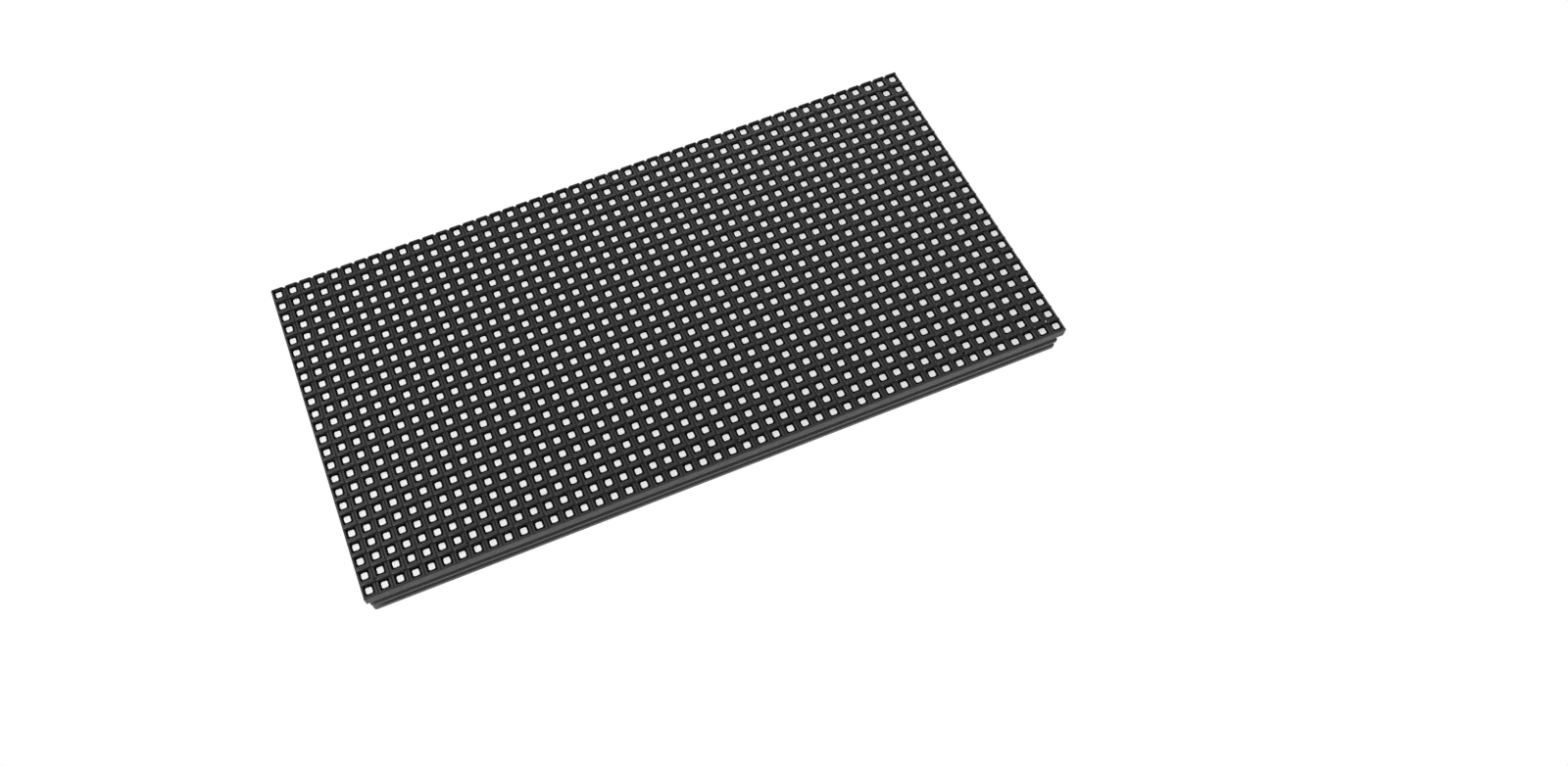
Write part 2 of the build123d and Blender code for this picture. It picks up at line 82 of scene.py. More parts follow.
class ModuleSizes(bpy.types.PropertyGroup):
    """Sizes of a pixel and of the details that the bare solids leave out."""
    pitch: length("Pitch", "Distance between neighbouring lamps", 320 / COLUMNS)
    window: length("Window", "Width of a lamp's window in the mask", 4.45)
    window_radius: length("Window radius", "Corner radius of a window", 0.5)
    window_chamfer: length("Window chamfer", "Chamfer round a window", 0.1)
    groove_width: length("Groove width", "Width of the groove between columns", 0.44)
    groove_depth: length("Groove depth", "Depth of the groove between columns", 0.35)
    louvre_height: length("Louvre height", "How far a louvre stands out of the mask", 1.0)
    louvre_thickness: length("Louvre thickness", "Thickness of a louvre", 0.6)
    louvre_width: length("Louvre width", "Width of a louvre's foot over one window", 6.1)
    louvre_tip: length("Louvre tip", "Width of a louvre's tip over one window", 4.9)
    skirt: length("Skirt", "Thickness of the mask's skirt", 1.0)
    mask_edge: length("Mask edge", "Chamfer round the mask's face", 0.6)
    lamp: length("Lamp", "Width of a lamp", 2.75)
    lamp_radius: length("Lamp radius", "Corner radius of a lamp", 0.6)
    lamp_rim: length("Lamp rim", "Width of the white rim round a lamp's resin", 0.3)
    lamp_sink: length("Lamp set-back", "How far a lamp's top lies behind the mask's face", 0.4)
    edge_bevel: length("Frame edge", "Rounding of the frame's moulded edges", 0.18)
    silk: length("Print thickness", "Thickness of the white print on the board", 0.03)


class ModuleColours(bpy.types.PropertyGroup):
    """Base colours of the finishes."""
    mask: colour("Mask", "Black weatherproof plastic of the mask", 0.0095, 0.0093, 0.0098)
    frame: colour("Frame", "Dark grey plastic of the rear frame", 0.036, 0.034, 0.039)
    potting: colour("Potting", "Black sealing resin", 0.003, 0.003, 0.0033)
    lamp: colour("Lamp", "White body of a lamp", 0.8, 0.8, 0.795)
    resin: colour("Lamp resin", "Milky resin in a lamp", 0.74, 0.75, 0.75)
    gasket: colour("Gasket", "Pale silicone gasket", 0.48, 0.49, 0.55)
    brass: colour("Brass", "Threaded inserts", 0.78, 0.56, 0.2)
    board: colour("Board", "Green solder mask", 0.008, 0.185, 0.085)
    board_light: colour("Tracks", "Solder mask over copper", 0.1, 0.54, 0.34)
    label: colour("Label", "Blue film labels", 0.02, 0.22, 0.64)
    stamp: colour("Stamp", "Green inspection stamp", 0.05, 0.42, 0.12)


def sizes():
    return bpy.context.scene.module_sizes


def colours():
    return bpy.context.scene.module_colours


# Materials

class Nodes:
    """A node tree that is built up step by step."""

    def __init__(self, tree):
        self.nodes = tree.nodes
        self.links = tree.links

    def give(self, node, values):
        """Sets or links a node's sockets, which are named by label or by number."""
        for name, value in values.items():
            socket = node.inputs[name]
            if isinstance(value, bpy.types.NodeSocket):
                self.links.new(value, socket)
            else:
                socket.default_value = (*value, 1) if socket.type == "RGBA" else value
        return node.outputs

    def add(self, kind, values, **settings):
        """Adds a node and returns its outputs."""
        node = self.nodes.new(kind)
        for key, value in settings.items():
            setattr(node, key, value)
        return self.give(node, values)

    def math(self, operation, first, second=0.0):
        return self.add("ShaderNodeMath", {0: first, 1: second}, operation=operation)["Value"]


class Finish(Nodes):
    """One material whose patterns follow the place on the object."""

    def __init__(self, name, base, roughness, metallic=0.0, specular=0.5, coat=0.0):
        self.material = bpy.data.materials.new(name)
        self.material.use_nodes = True
        super().__init__(self.material.node_tree)
        self.shader = self.nodes["Principled BSDF"]
        self.give(self.shader, {"Base Color": base, "Roughness": roughness, "Metallic": metallic,
                                "Specular IOR Level": specular, "Coat Weight": coat})
        self.place = self.nodes.new("ShaderNodeTexCoord").outputs["Object"]

    def noise(self, scale, detail, place=None):
        values = {"Vector": place or self.place, "Scale": scale, "Detail": detail}
        return self.add("ShaderNodeTexNoise", values)["Fac"]

    def cells(self, scale):
        return self.add("ShaderNodeTexVoronoi", {"Vector": self.place, "Scale": scale})["Distance"]

    def stretched(self, x, y, z):
        """The place, drawn out along the axes with the smaller factors."""
        return self.add("ShaderNodeMapping", {"Vector": self.place, "Scale": (x, y, z)})["Vector"]

    def axis(self, name):
        return self.add("ShaderNodeSeparateXYZ", {"Vector": self.place})[name]

    def reach(self):
        """Distance from the origin."""
        return self.add("ShaderNodeVectorMath", {0: self.place}, operation="LENGTH")["Value"]

    def waves(self, along, pitch):
        """A sine that repeats each pitch."""
        return self.math("SINE", self.math("MULTIPLY", along, 2 * math.pi / pitch))

    def scaled(self, value, low, high, to_low, to_high):
        values = {"Value": value, "From Min": low, "From Max": high, "To Min": to_low, "To Max": to_high}
        return self.add("ShaderNodeMapRange", values)["Result"]

    def mix(self, share, first, second):
        """Mixes two colours, which are the sockets 6 and 7 of the node."""
        return self.add("ShaderNodeMix", {0: share, 6: first, 7: second}, data_type="RGBA")[2]

    def ramp(self, value, low, high, first, second):
        """Goes from the first colour to the second while the value goes from low to high."""
        return self.mix(self.scaled(value, low, high, 0, 1), first, second)

    def paint(self, value):
        self.links.new(value, self.shader.inputs["Base Color"])

    def dull(self, value):
        self.links.new(value, self.shader.inputs["Roughness"])

    def bump(self, height, depth, strength):
        """Adds a relief to those that the shader already has."""
        normal = self.shader.inputs["Normal"]
        values = {"Height": height, "Distance": depth, "Strength": strength}
        if normal.links:
            values["Normal"] = normal.links[0].from_socket
        self.links.new(self.add("ShaderNodeBump", values)["Normal"], normal)


def shade(base, factor):
    return tuple(min(1.0, channel * factor) for channel in base)


def moulded_plastic(name, base, roughness, grain=0.00004):
    """Spark-eroded moulding: fine grain, a cloudy colour and an uneven sheen."""
    finish = Finish(name, base, roughness)
    finish.paint(finish.ramp(finish.noise(90, 4), 0.35, 0.7, shade(base, 0.88), shade(base, 1.15)))
    finish.dull(finish.scaled(finish.noise(420, 3), 0.3, 0.7, roughness - 0.06, roughness + 0.06))
    finish.bump(finish.noise(3200, 2), grain, 0.6)
    return finish.material


def sealing_resin(base):
    finish = Finish("sealing resin", base, 0.55, specular=0.05)
    finish.paint(finish.mix(finish.noise(300, 3), base, shade(base, 1.6)))
    finish.bump(finish.noise(700, 2), 0.00006, 0.5)
    return finish.material


def lamp_white(base):
    finish = Finish("lamp housing", base, 0.42)
    finish.paint(finish.ramp(finish.noise(140, 1), 0.4, 0.65, shade(base, 0.97), base))
    finish.bump(finish.noise(2600, 2), 0.00002, 0.5)
    return finish.material


def lamp_resin(base):
    finish = Finish("lamp resin", base, 0.3)
    grain = finish.cells(5200)
    finish.paint(finish.ramp(grain, 0.0, 0.6, shade(base, 0.94), base))
    finish.bump(grain, 0.00002, 0.4)
    return finish.material


def silicone(base):
    """Pale gasket whose fine ridges run along it all the way round, with painted shade in their hollows and
    painted highlight on their crests.
    """
    finish = Finish("gasket silicone", base, 0.34)
    centre = (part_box("sealing_gasket")[1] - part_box("sealing_gasket")[0]) / 2
    reach_x = finish.math("SUBTRACT", finish.math("ABSOLUTE", finish.axis("X")), centre.x)
    reach_z = finish.math("SUBTRACT", finish.math("ABSOLUTE", finish.axis("Z")), centre.z)
    ridge_pitch = 1.35 * MM
    ridges = finish.waves(finish.math("MAXIMUM", reach_x, reach_z), ridge_pitch)
    # Colour darker in the hollows of the ridges and lighter on their crests: painted shade and painted
    # highlight that follow the ridges
    pale = finish.ramp(ridges, -1, 1, shade(base, 0.8), shade(base, 1.12))
    finish.paint(finish.ramp(finish.noise(35, 3), 0.3, 0.7, pale, base))
    finish.bump(ridges, 0.0001, 0.7)
    finish.bump(finish.noise(1500, 2), 0.00002, 0.4)
    finish.give(finish.shader, {"Subsurface Weight": 0.25, "Subsurface Scale": 1.0,
                                "Subsurface Radius": (0.002, 0.002, 0.0025)})
    return finish.material


def bright_metal(name, base, roughness):
    finish = Finish(name, base, roughness, metallic=1.0)
    grain = finish.noise(900, 3)
    finish.paint(finish.ramp(grain, 0.3, 0.7, shade(base, 0.8), base))
    finish.dull(finish.scaled(grain, 0.3, 0.7, roughness - 0.08, roughness + 0.1))
    finish.bump(grain, 0.00001, 0.5)
    return finish.material


def solder_mask(base, light):
    """Green lacquer over tracks that run along the board, with copper fields, gaps and tiny holes."""
    finish = Finish("solder mask", base, 0.3, coat=0.3)
    finish.give(finish.shader, {"Coat Roughness": 0.12})
    track_pitch = 0.9 * MM
    gap_pitch = 2.7 * MM
    drift = finish.math("MULTIPLY", finish.noise(30, 1, finish.stretched(0.25, 1, 1)), 4 * MM)
    line = finish.math("ADD", finish.axis("Z"), drift)
    tracks = finish.scaled(finish.waves(line, track_pitch), -0.5, 0.0, 0, 1)
    fields = finish.scaled(finish.noise(55, 1, finish.stretched(0.35, 1, 1)), 0.4, 0.5, 0, 1)
    copper = finish.math("MULTIPLY", tracks, fields)
    shown = finish.math("MULTIPLY", copper, finish.scaled(finish.noise(14, 2), 0.35, 0.65, 0.45, 1.0))
    gaps = finish.scaled(finish.waves(line, gap_pitch), 0.88, 0.97, 0, 0.75)
    lacquer = finish.mix(gaps, finish.mix(shown, base, light), shade(base, 0.3))
    holes = finish.scaled(finish.cells(260), 0.08, 0.11, 1, 0)
    finish.paint(finish.mix(finish.math("MULTIPLY", holes, 0.8), lacquer, (0.35, 0.45, 0.36)))
    finish.bump(copper, 0.00003, 0.6)
    return finish.material


def printed_white():
    finish = Finish("board print", (0.78, 0.8, 0.78), 0.5)
    finish.paint(finish.mix(finish.noise(1800, 2), (0.66, 0.7, 0.67), (0.84, 0.85, 0.83)))
    return finish.material


def film(name, base):
    finish = Finish(name, base, 0.35, coat=0.4)
    finish.paint(finish.ramp(finish.noise(160, 3), 0.35, 0.65, shade(base, 0.82), shade(base, 1.12)))
    finish.bump(finish.noise(240, 2), 0.00005, 0.4)
    return finish.material


def finishes():
    """All materials, made once and kept by a short name."""
    tones = colours()
    return {
        "mask": moulded_plastic("mask plastic", tones.mask, 0.42),
        "frame": moulded_plastic("frame plastic", tones.frame, 0.46, 0.00005),
        # A darker copy of the frame plastic for the frame's outer side walls: painted shade
        "shaded frame walls": moulded_plastic("frame plastic in painted shade", shade(tones.frame, 0.3), 0.34, 0.00003),
        "chip": moulded_plastic("chip epoxy", (0.016, 0.016, 0.018), 0.5, 0.00002),
        "connector": moulded_plastic("connector nylon", (0.012, 0.012, 0.013), 0.36, 0.00001),
        "base": moulded_plastic("capacitor base", (0.01, 0.01, 0.011), 0.45, 0.00001),
        "resistor": moulded_plastic("resistor glaze", (0.014, 0.014, 0.017), 0.3, 0.00001),
        "ceramic": moulded_plastic("ceramic", (0.42, 0.29, 0.17), 0.42, 0.00001),
        "potting": sealing_resin(tones.potting),
        "lamp": lamp_white(tones.lamp),
        "resin": lamp_resin(tones.resin),
        "gasket": silicone(tones.gasket),
        "brass": bright_metal("brass", tones.brass, 0.26),
        "steel": bright_metal("steel", (0.72, 0.72, 0.74), 0.3),
        "black steel": bright_metal("blackened steel", (0.03, 0.03, 0.034), 0.42),
        "tin": bright_metal("tinned copper", (0.7, 0.71, 0.72), 0.32),
        "solder": bright_metal("solder", (0.82, 0.83, 0.85), 0.22),
        "can": bright_metal("aluminium can", (0.86, 0.86, 0.88), 0.24),
        "gold": bright_metal("gold plating", (0.85, 0.64, 0.28), 0.25),
        "board": solder_mask(tones.board, tones.board_light),
        "print": printed_white(),
        "marking": film("can marking", (0.01, 0.01, 0.012)),
        "label": film("label film", tones.label),
        "stamp": film("stamp film", tones.stamp),
    }


FINISHES = {}


def finish_of(name):
    if not FINISHES:
        FINISHES.update(finishes())
    return FINISHES[name]


# Modelling helpers

def clear_choice():
    if bpy.context.mode != "OBJECT":
        leave_edit()
    bpy.ops.object.select_all(action="DESELECT")


def choose(*pieces):
    """Selects these objects alone; the last one is active."""
    clear_choice()
    for piece in pieces:
        piece.select_set(True)
    bpy.context.view_layer.objects.active = pieces[-1]


def pick(piece, test, kind="FACE"):
    """Selects the faces or edges that pass a test, and opens edit mode on the piece."""
    choose(piece)
    bpy.ops.object.mode_set(mode="EDIT")
    bpy.ops.mesh.select_mode(type=kind)
    bpy.ops.mesh.select_all(action="DESELECT")
    leave_edit()
    count = 0
    for item in piece.data.edges if kind == "EDGE" else piece.data.polygons:
        item.select = bool(test(item))
        count += item.select
    if not count:
        raise RuntimeError(f"nothing to select on {piece.name}")
    bpy.ops.object.mode_set(mode="EDIT")


def leave_edit():
    bpy.ops.object.mode_set(mode="OBJECT")


def open_all(piece):
    """Opens edit mode on a piece with all of it selected."""
    choose(piece)
    bpy.ops.object.mode_set(mode="EDIT")
    bpy.ops.mesh.select_all(action="SELECT")


def edge_ends(piece, edge):
    return [piece.data.vertices[index].co for index in edge.vertices]


def edge_middle(piece, edge):
    first, second = edge_ends(piece, edge)
    return (first + second) / 2


def edge_way(piece, edge):
    first, second = edge_ends(piece, edge)
    return (second - first).normalized()


def settle(piece):
    """Puts the place, turn and scale of an object into its mesh."""
    choose(piece)
    bpy.ops.object.transform_apply(location=True, rotation=True, scale=True)
    return piece


def cube(name, low, high):
    low, high = Vector(low), Vector(high)
    clear_choice()
    bpy.ops.mesh.primitive_cube_add(size=1, location=(low + high) / 2)
    piece = bpy.context.object
    piece.name = name
    piece.scale = high - low
    return settle(piece)


def bevel(width, segments, kind="EDGES"):
    bpy.ops.mesh.bevel(offset=width, segments=segments, affect=kind, profile=0.5)


def round_edges(piece, width, segments, test):
    """Bevels the edges that pass a test."""
    pick(piece, test, "EDGE")
    bevel(width, segments)
    leave_edit()


def modify(piece, kind, **settings):
    """Adds a modifier and applies it."""
    choose(piece)
    modifier = piece.modifiers.new(kind.title(), kind)
    for key, value in settings.items():
        setattr(modifier, key, value)
    bpy.ops.object.modifier_apply(modifier=modifier.name)
    return piece


def bevelled(piece, width, segments, angle):
    """Bevels the edges that are sharper than an angle in degrees."""
    return modify(piece, "BEVEL", width=width, segments=segments, limit_method="ANGLE",
                  angle_limit=math.radians(angle))


def repeat(piece, count, step, merge=False):
    """Rows of the same shape, a step apart."""
    return modify(piece, "ARRAY", count=count, use_relative_offset=False, use_constant_offset=True,
                  constant_offset_displace=step, use_merge_vertices=merge, merge_threshold=NEAR)


def right_way_out(piece):
    open_all(piece)
    bpy.ops.mesh.normals_make_consistent(inside=False)
    leave_edit()
    return piece


def merge_close(piece):
    open_all(piece)
    bpy.ops.mesh.remove_doubles(threshold=MERGE)
    leave_edit()


def joined(name, pieces):
    choose(*pieces)
    if len(pieces) > 1:
        bpy.ops.object.join()
    piece = bpy.context.object
    piece.name = name
    piece.data.name = name
    return piece


def twin_of(piece):
    """A copy with a mesh of its own."""
    twin = piece.copy()
    twin.data = piece.data.copy()
    bpy.context.collection.objects.link(twin)
    return twin


def copies(model, places):
    """Copies of the model at all places, as one object; the model itself is removed."""
    made = []
    for place in places:
        twin = twin_of(model)
        twin.data.transform(Matrix.Translation(place))
        made.append(twin)
    bpy.data.objects.remove(model, do_unlink=True)
    return joined(made[0].name, made)


def turned(profile, sides):
    """A round piece about +Z: a disc drawn up through (radius, height) pairs."""
    clear_choice()
    radius, height = profile[0]
    bpy.ops.mesh.primitive_circle_add(vertices=sides, radius=radius, fill_type="NGON",
                                      location=(0, 0, height))
    piece = settle(bpy.context.object)
    open_all(piece)
    for next_radius, next_height in profile[1:]:
        bpy.ops.mesh.extrude_region_move(TRANSFORM_OT_translate={"value": (0, 0, next_height - height)})
        factor = next_radius / radius
        bpy.ops.transform.resize(value=(factor, factor, 1), center_override=(0, 0, next_height))
        radius, height = next_radius, next_height
    leave_edit()
    return right_way_out(piece)


def facing(piece, rear=True):
    """Lays a piece that was turned about +Z with its top to the rear, or to the front."""
    turn = -QUARTER if rear else QUARTER
    piece.data.transform(Matrix.Rotation(turn, 4, "X"))
    return piece


def cad_copy(node):
    """A merged copy of a CAD node's mesh."""
    twin = twin_of(frame["nodes"][node])
    twin.parent = None
    twin.matrix_world = Matrix.Identity(4)
    twin.animation_data_clear()
    twin.hide_viewport = twin.hide_render = False
    twin.hide_set(False)
    merge_close(twin)
    return twin


def loose_boxes(node):
    """Low and high corner of each separate solid of a CAD node, read from a merged copy."""
    open_all(cad_copy(node))
    bpy.ops.mesh.separate(type="LOOSE")
    leave_edit()
    found = []
    for piece in list(bpy.context.selected_objects):
        corners = [vertex.co for vertex in piece.data.vertices]
        low, high = [Vector([limit(corner[axis] for corner in corners) for axis in range(3)])
                     for limit in (min, max)]
        found.append((low, high))
        bpy.data.objects.remove(piece, do_unlink=True)
    return sorted(found, key=lambda pair: (round(pair[0].x, 5), round(pair[0].z, 5)))


def node_size(node):
    """Size of the first solid of a CAD node."""
    low, high = loose_boxes(node)[0]
    return high - low


def middles(node, level=BOARD_BACK):
    """Centre of each separate solid, at the level of the board's rear face or another one."""
    return [Vector(((low.x + high.x) / 2, level, (low.z + high.z) / 2))
            for low, high in loose_boxes(node)]


def dress(piece, *names):
    """Gives a piece its materials, the first one all over."""
    piece.data.materials.clear()
    for name in names:
        piece.data.materials.append(finish_of(name))
    for polygon in piece.data.polygons:
        polygon.material_index = 0


def repaint(piece, slot, test):
    for polygon in piece.data.polygons:
        if test(polygon):
            polygon.material_index = slot


def put_on(piece, name, *nodes, angle=35):
    """Names a finished piece, fixes it to the module and hides the solids that it stands for."""
    piece.name = name
    piece.data.name = name
    choose(piece)
    bpy.ops.object.shade_smooth_by_angle(angle=math.radians(angle))
    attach(piece, "root")
    if nodes:
        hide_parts(*nodes)


def dress_node(node, finish):
    dress(frame["nodes"][node], finish)


def softened(node, width, segments, angle):
    """A copy of a CAD node whose edges are bevelled where they are sharper than the angle."""
    flat = math.radians(0.5)
    twin = cad_copy(node)
    open_all(twin)
    bpy.ops.mesh.dissolve_limited(angle_limit=flat)
    leave_edit()
    return bevelled(twin, width, segments, angle)


def soften_node(node, name, finish, width, sharp, angle=35):
    """Puts a softened copy with one finish in the place of a CAD node."""
    piece = softened(node, width, 2, sharp)
    dress(piece, finish)
    put_on(piece, name, node, angle=angle)


class Step(bpy.types.Operator):
    """One step of the build"""

    def execute(self, context):
        self.build()
        return {"FINISHED"}


# Front: mask, louvres, lamps and potting

def rounded_square(width, radius, y):
    """Flat square with round corners that faces the front."""
    clear_choice()
    bpy.ops.mesh.primitive_plane_add(size=width, location=(0, y, 0), rotation=(QUARTER, 0, 0))
    piece = settle(bpy.context.object)
    open_all(piece)
    bevel(radius, 2, "VERTICES")
    leave_edit()
    return piece


def extrude_to(offset, factor=1.0, centre=(0, 0, 0)):
    """Draws the selected faces or edges along Y and scales their outline."""
    bpy.ops.mesh.extrude_region_move(TRANSFORM_OT_translate={"value": (0, offset, 0)})
    if factor != 1.0:
        bpy.ops.transform.resize(value=(factor, 1, factor), center_override=centre)


def fill_pixels(piece):
    """Repeats one pixel's shape, made about the origin, over all columns and rows."""
    pitch = sizes().pitch
    first = Vector((-(COLUMNS - 1) / 2 * pitch, 0, -(ROWS - 1) / 2 * pitch))
    piece.data.transform(Matrix.Translation(first))
    repeat(piece, COLUMNS, (pitch, 0, 0), merge=True)
    return repeat(piece, ROWS, (0, 0, pitch), merge=True)


def hollowed(block, wall):
    """Opens a block along Y and leaves a wall all round."""
    pick(block, lambda polygon: abs(polygon.normal.y) > 0.5)
    bpy.ops.mesh.inset(thickness=wall, use_even_offset=True)
    bpy.ops.mesh.bridge_edge_loops()
    leave_edit()
    return right_way_out(block)


class DISPLAY_OT_mask(Step):
    """Builds the mask: a window and half a groove each side for every pixel, and the skirt"""
    bl_idname = "display.mask"
    bl_label = "Mask"

    def build(self):
        size = sizes()
        face = MASK_LOW.y + size.louvre_height
        half = size.pitch / 2
        outer = size.window + 2 * size.window_chamfer
        window = rounded_square(outer, size.window_radius, face)
        pick(window, lambda polygon: True)
        bpy.ops.mesh.delete(type="ONLY_FACE")
        leave_edit()
        pick(window, lambda edge: True, "EDGE")
        extrude_to(size.window_chamfer, size.window / outer, (0, face + size.window_chamfer, 0))
        extrude_to(MASK_BACK - face - size.window_chamfer)
        leave_edit()
        for level, groove in ((face, size.groove_depth), (MASK_BACK, 0.0)):
            self.flare(window, level, half - size.groove_width / 2, half)
            self.add_groove(window, level, half, groove)
        merge_close(window)
        mask = fill_pixels(window)
        merge_close(mask)
        self.trim(mask, face)
        mask = joined("mask", [self.build_skirt(), mask])
        dress(mask, "mask")
        put_on(mask, "front_mask_face", "front_mask", angle=25)

    def flare(self, window, level, half_x, half_z):
        """Draws the window's rim at a level out to the pixel's outline, corner to corner."""
        def at_level(edge):
            return all(abs(end.y - level) < NEAR for end in edge_ends(window, edge))

        pick(window, at_level, "EDGE")
        bpy.ops.mesh.extrude_region_move()
        leave_edit()
        size = sizes()
        straight = size.window / 2 - size.window_radius
        for vertex in window.data.vertices:
            if vertex.select:
                x, z = abs(vertex.co.x), abs(vertex.co.z)
                vertex.co.x = math.copysign(half_x if x > z - NEAR else straight, vertex.co.x)
                vertex.co.z = math.copysign(half_z if z > x - NEAR else straight, vertex.co.z)

    def add_groove(self, window, level, half, depth):
        """Slopes from the rim down to the groove's bottom, on both sides; with no depth it stays flat."""
        size = sizes()
        for side in (-1, 1):
            rim = side * (half - size.groove_width / 2)

            def on_rim(edge):
                middle = edge_middle(window, edge)
                return abs(middle.y - level) < NEAR and abs(middle.x - rim) < NEAR

            pick(window, on_rim, "EDGE")
            move = (side * size.groove_width / 2, depth, 0)
            bpy.ops.mesh.extrude_region_move(TRANSFORM_OT_translate={"value": move})
            leave_edit()

    def trim(self, mask, face):
        """Draws the outermost edge in to the mask's real size, chamfers it and closes the rim."""
        chamfer = sizes().mask_edge
        limits = ((0, MASK_HIGH.x), (2, MASK_HIGH.z))
        for vertex in mask.data.vertices:
            front = vertex.co.y < MASK_BACK - NEAR
            for axis, limit in limits:
                if abs(vertex.co[axis]) > limit - chamfer - NEAR:
                    vertex.co[axis] = math.copysign(limit - chamfer if front else limit, vertex.co[axis])
                    if front and axis == 0:
                        vertex.co.y = face
        merge_close(mask)
        uses = {}
        for polygon in mask.data.polygons:
            for key in polygon.edge_keys:
                uses[key] = uses.get(key, 0) + 1
        pick(mask, lambda edge: uses[edge.key] == 1 and edge_middle(mask, edge).y < MASK_BACK - NEAR, "EDGE")
        for level in (face + chamfer, MASK_BACK):
            bpy.ops.object.mode_set(mode="EDIT")
            bpy.ops.mesh.extrude_region_move()
            leave_edit()
            for vertex in mask.data.vertices:
                if vertex.select:
                    vertex.co.y = level
                    for axis, limit in limits:
                        if abs(vertex.co[axis]) > limit - chamfer - NEAR:
                            vertex.co[axis] = math.copysign(limit, vertex.co[axis])
        merge_close(mask)
        right_way_out(mask)

    def build_skirt(self):
        """Closed ring behind the mask's rim."""
        skirt = cube("skirt", (MASK_LOW.x, MASK_BACK, MASK_LOW.z), MASK_HIGH)
        return hollowed(skirt, sizes().skirt)


class DISPLAY_OT_louvres(Step):
    """Builds the louvres: one tab with rounded corners over each window"""
    bl_idname = "display.louvres"
    bl_label = "Louvres"

    def build(self):
        size = sizes()
        tip = MASK_LOW.y
        foot = tip + size.louvre_height
        under = size.window / 2 + size.window_chamfer * 0.6
        middle = under + size.louvre_thickness / 2
        sunk = 0.05 * MM
        corner = 0.3 * MM
        tab = cube("louvre", (-size.louvre_width / 2, tip, under),
                   (size.louvre_width / 2, foot + sunk, under + size.louvre_thickness))
        pick(tab, lambda polygon: polygon.normal.y < -0.5)
        narrower, thinner = size.louvre_tip / size.louvre_width, 0.8
        bpy.ops.transform.resize(value=(narrower, 1, thinner), center_override=(0, tip, middle))
        leave_edit()
        round_edges(tab, corner, 2, lambda edge: edge_middle(tab, edge).y < tip + NEAR
                    and abs(edge_way(tab, edge).z) > 0.9)
        louvres = fill_pixels(tab)
        dress(louvres, "mask")
        put_on(louvres, "front_mask_louvres", "front_mask", angle=50)


class DISPLAY_OT_lamps(Step):
    """Builds the lamps: white housings, each with a resin pool inside its rim"""
    bl_idname = "display.lamps"
    bl_label = "Lamps"

    def build(self):
        size = sizes()
        top = MASK_LOW.y + size.louvre_height + size.lamp_sink
        edge = 0.12 * MM
        pool = 0.06 * MM
        flat = size.lamp - 2 * edge

        def in_pool(polygon):
            return polygon.normal.y < -0.9 and abs(polygon.center.y - top - pool) < NEAR

        lamp = rounded_square(size.lamp, size.lamp_radius, BOARD_FRONT)
        pick(lamp, lambda face: True)
        extrude_to(top + edge - BOARD_FRONT)
        extrude_to(-edge, flat / size.lamp, (0, top, 0))
        extrude_to(0, (flat - 2 * size.lamp_rim) / flat, (0, top, 0))
        extrude_to(pool, 0.97, (0, top + pool, 0))
        leave_edit()
        right_way_out(lamp)
        dress(lamp, "lamp", "resin")
        repaint(lamp, 1, in_pool)
        lamps = fill_pixels(lamp)
        put_on(lamps, "lamps", "lamp_rows", angle=40)


class DISPLAY_OT_potting(Step):
    """Builds the potting: a resin sheet that creeps up a little round every lamp"""
    bl_idname = "display.potting"
    bl_label = "Potting"

    def build(self):
        size = sizes()
        flat = MASK_BACK + 0.02 * MM
        creep = 0.15 * MM
        shore = (size.pitch - size.window) / 2 + 0.35 * MM
        shelf = (size.pitch - size.lamp) / 2 - shore
        clear_choice()
        bpy.ops.mesh.primitive_grid_add(x_subdivisions=COLUMNS, y_subdivisions=ROWS, size=1,
                                        location=(0, flat, 0), rotation=(QUARTER, 0, 0))
        sheet = bpy.context.object
        sheet.scale = (COLUMNS * size.pitch, ROWS * size.pitch, 1)
        settle(sheet)
        pick(sheet, lambda polygon: True)
        bpy.ops.mesh.inset(thickness=shore, use_individual=True)
        bpy.ops.mesh.inset(thickness=shelf, use_individual=True)
        bpy.ops.transform.translate(value=(0, -creep, 0))
        leave_edit()
        for vertex in sheet.data.vertices:
            vertex.co.x = max(POTTING_LOW.x, min(POTTING_HIGH.x, vertex.co.x))
            vertex.co.z = max(POTTING_LOW.z, min(POTTING_HIGH.z, vertex.co.z))
        modify(sheet, "SOLIDIFY", thickness=POTTING_HIGH.y - flat, offset=-1)
        dress(sheet, "potting")
        put_on(sheet, "potting_resin", "potting_layer", angle=30)


class DISPLAY_OT_mask_screws(Step):
    """Builds the mask screws with a domed head and a driver recess"""
    bl_idname = "display.mask_screws"
    bl_label = "Mask screws"

    def build(self):
        low, high = loose_boxes("mask_screws")[0]
        head = (high.x - low.x) / 2
        shank = head * 2 / 3
        total = high.y - low.y
        under = total - 0.4 * MM
        recess = total - 0.25 * MM
        profile = [(shank * 0.4, 0), (shank, 0.8 * MM), (shank, under), (head, under),
                   (head, under + 0.18 * MM), (head * 0.86, total - 0.06 * MM), (head * 0.6, total),
                   (head * 0.42, total), (head * 0.3, recess)]
        screw = facing(turned(profile, 16), rear=False)
        places = middles("mask_screws", high.y)
        screws = copies(screw, places)
        dress(screws, "black steel", "steel")
        # The screw at the lower right shows bare metal in its recess
        corner = max(places, key=lambda place: place.x - place.z)
        bare = 0.4 * head
        repaint(screws, 1, lambda polygon: (polygon.center - corner).xz.length < bare)
        put_on(screws, "mask_screws_turned", "mask_screws")


# Rear: frame, gasket and inserts

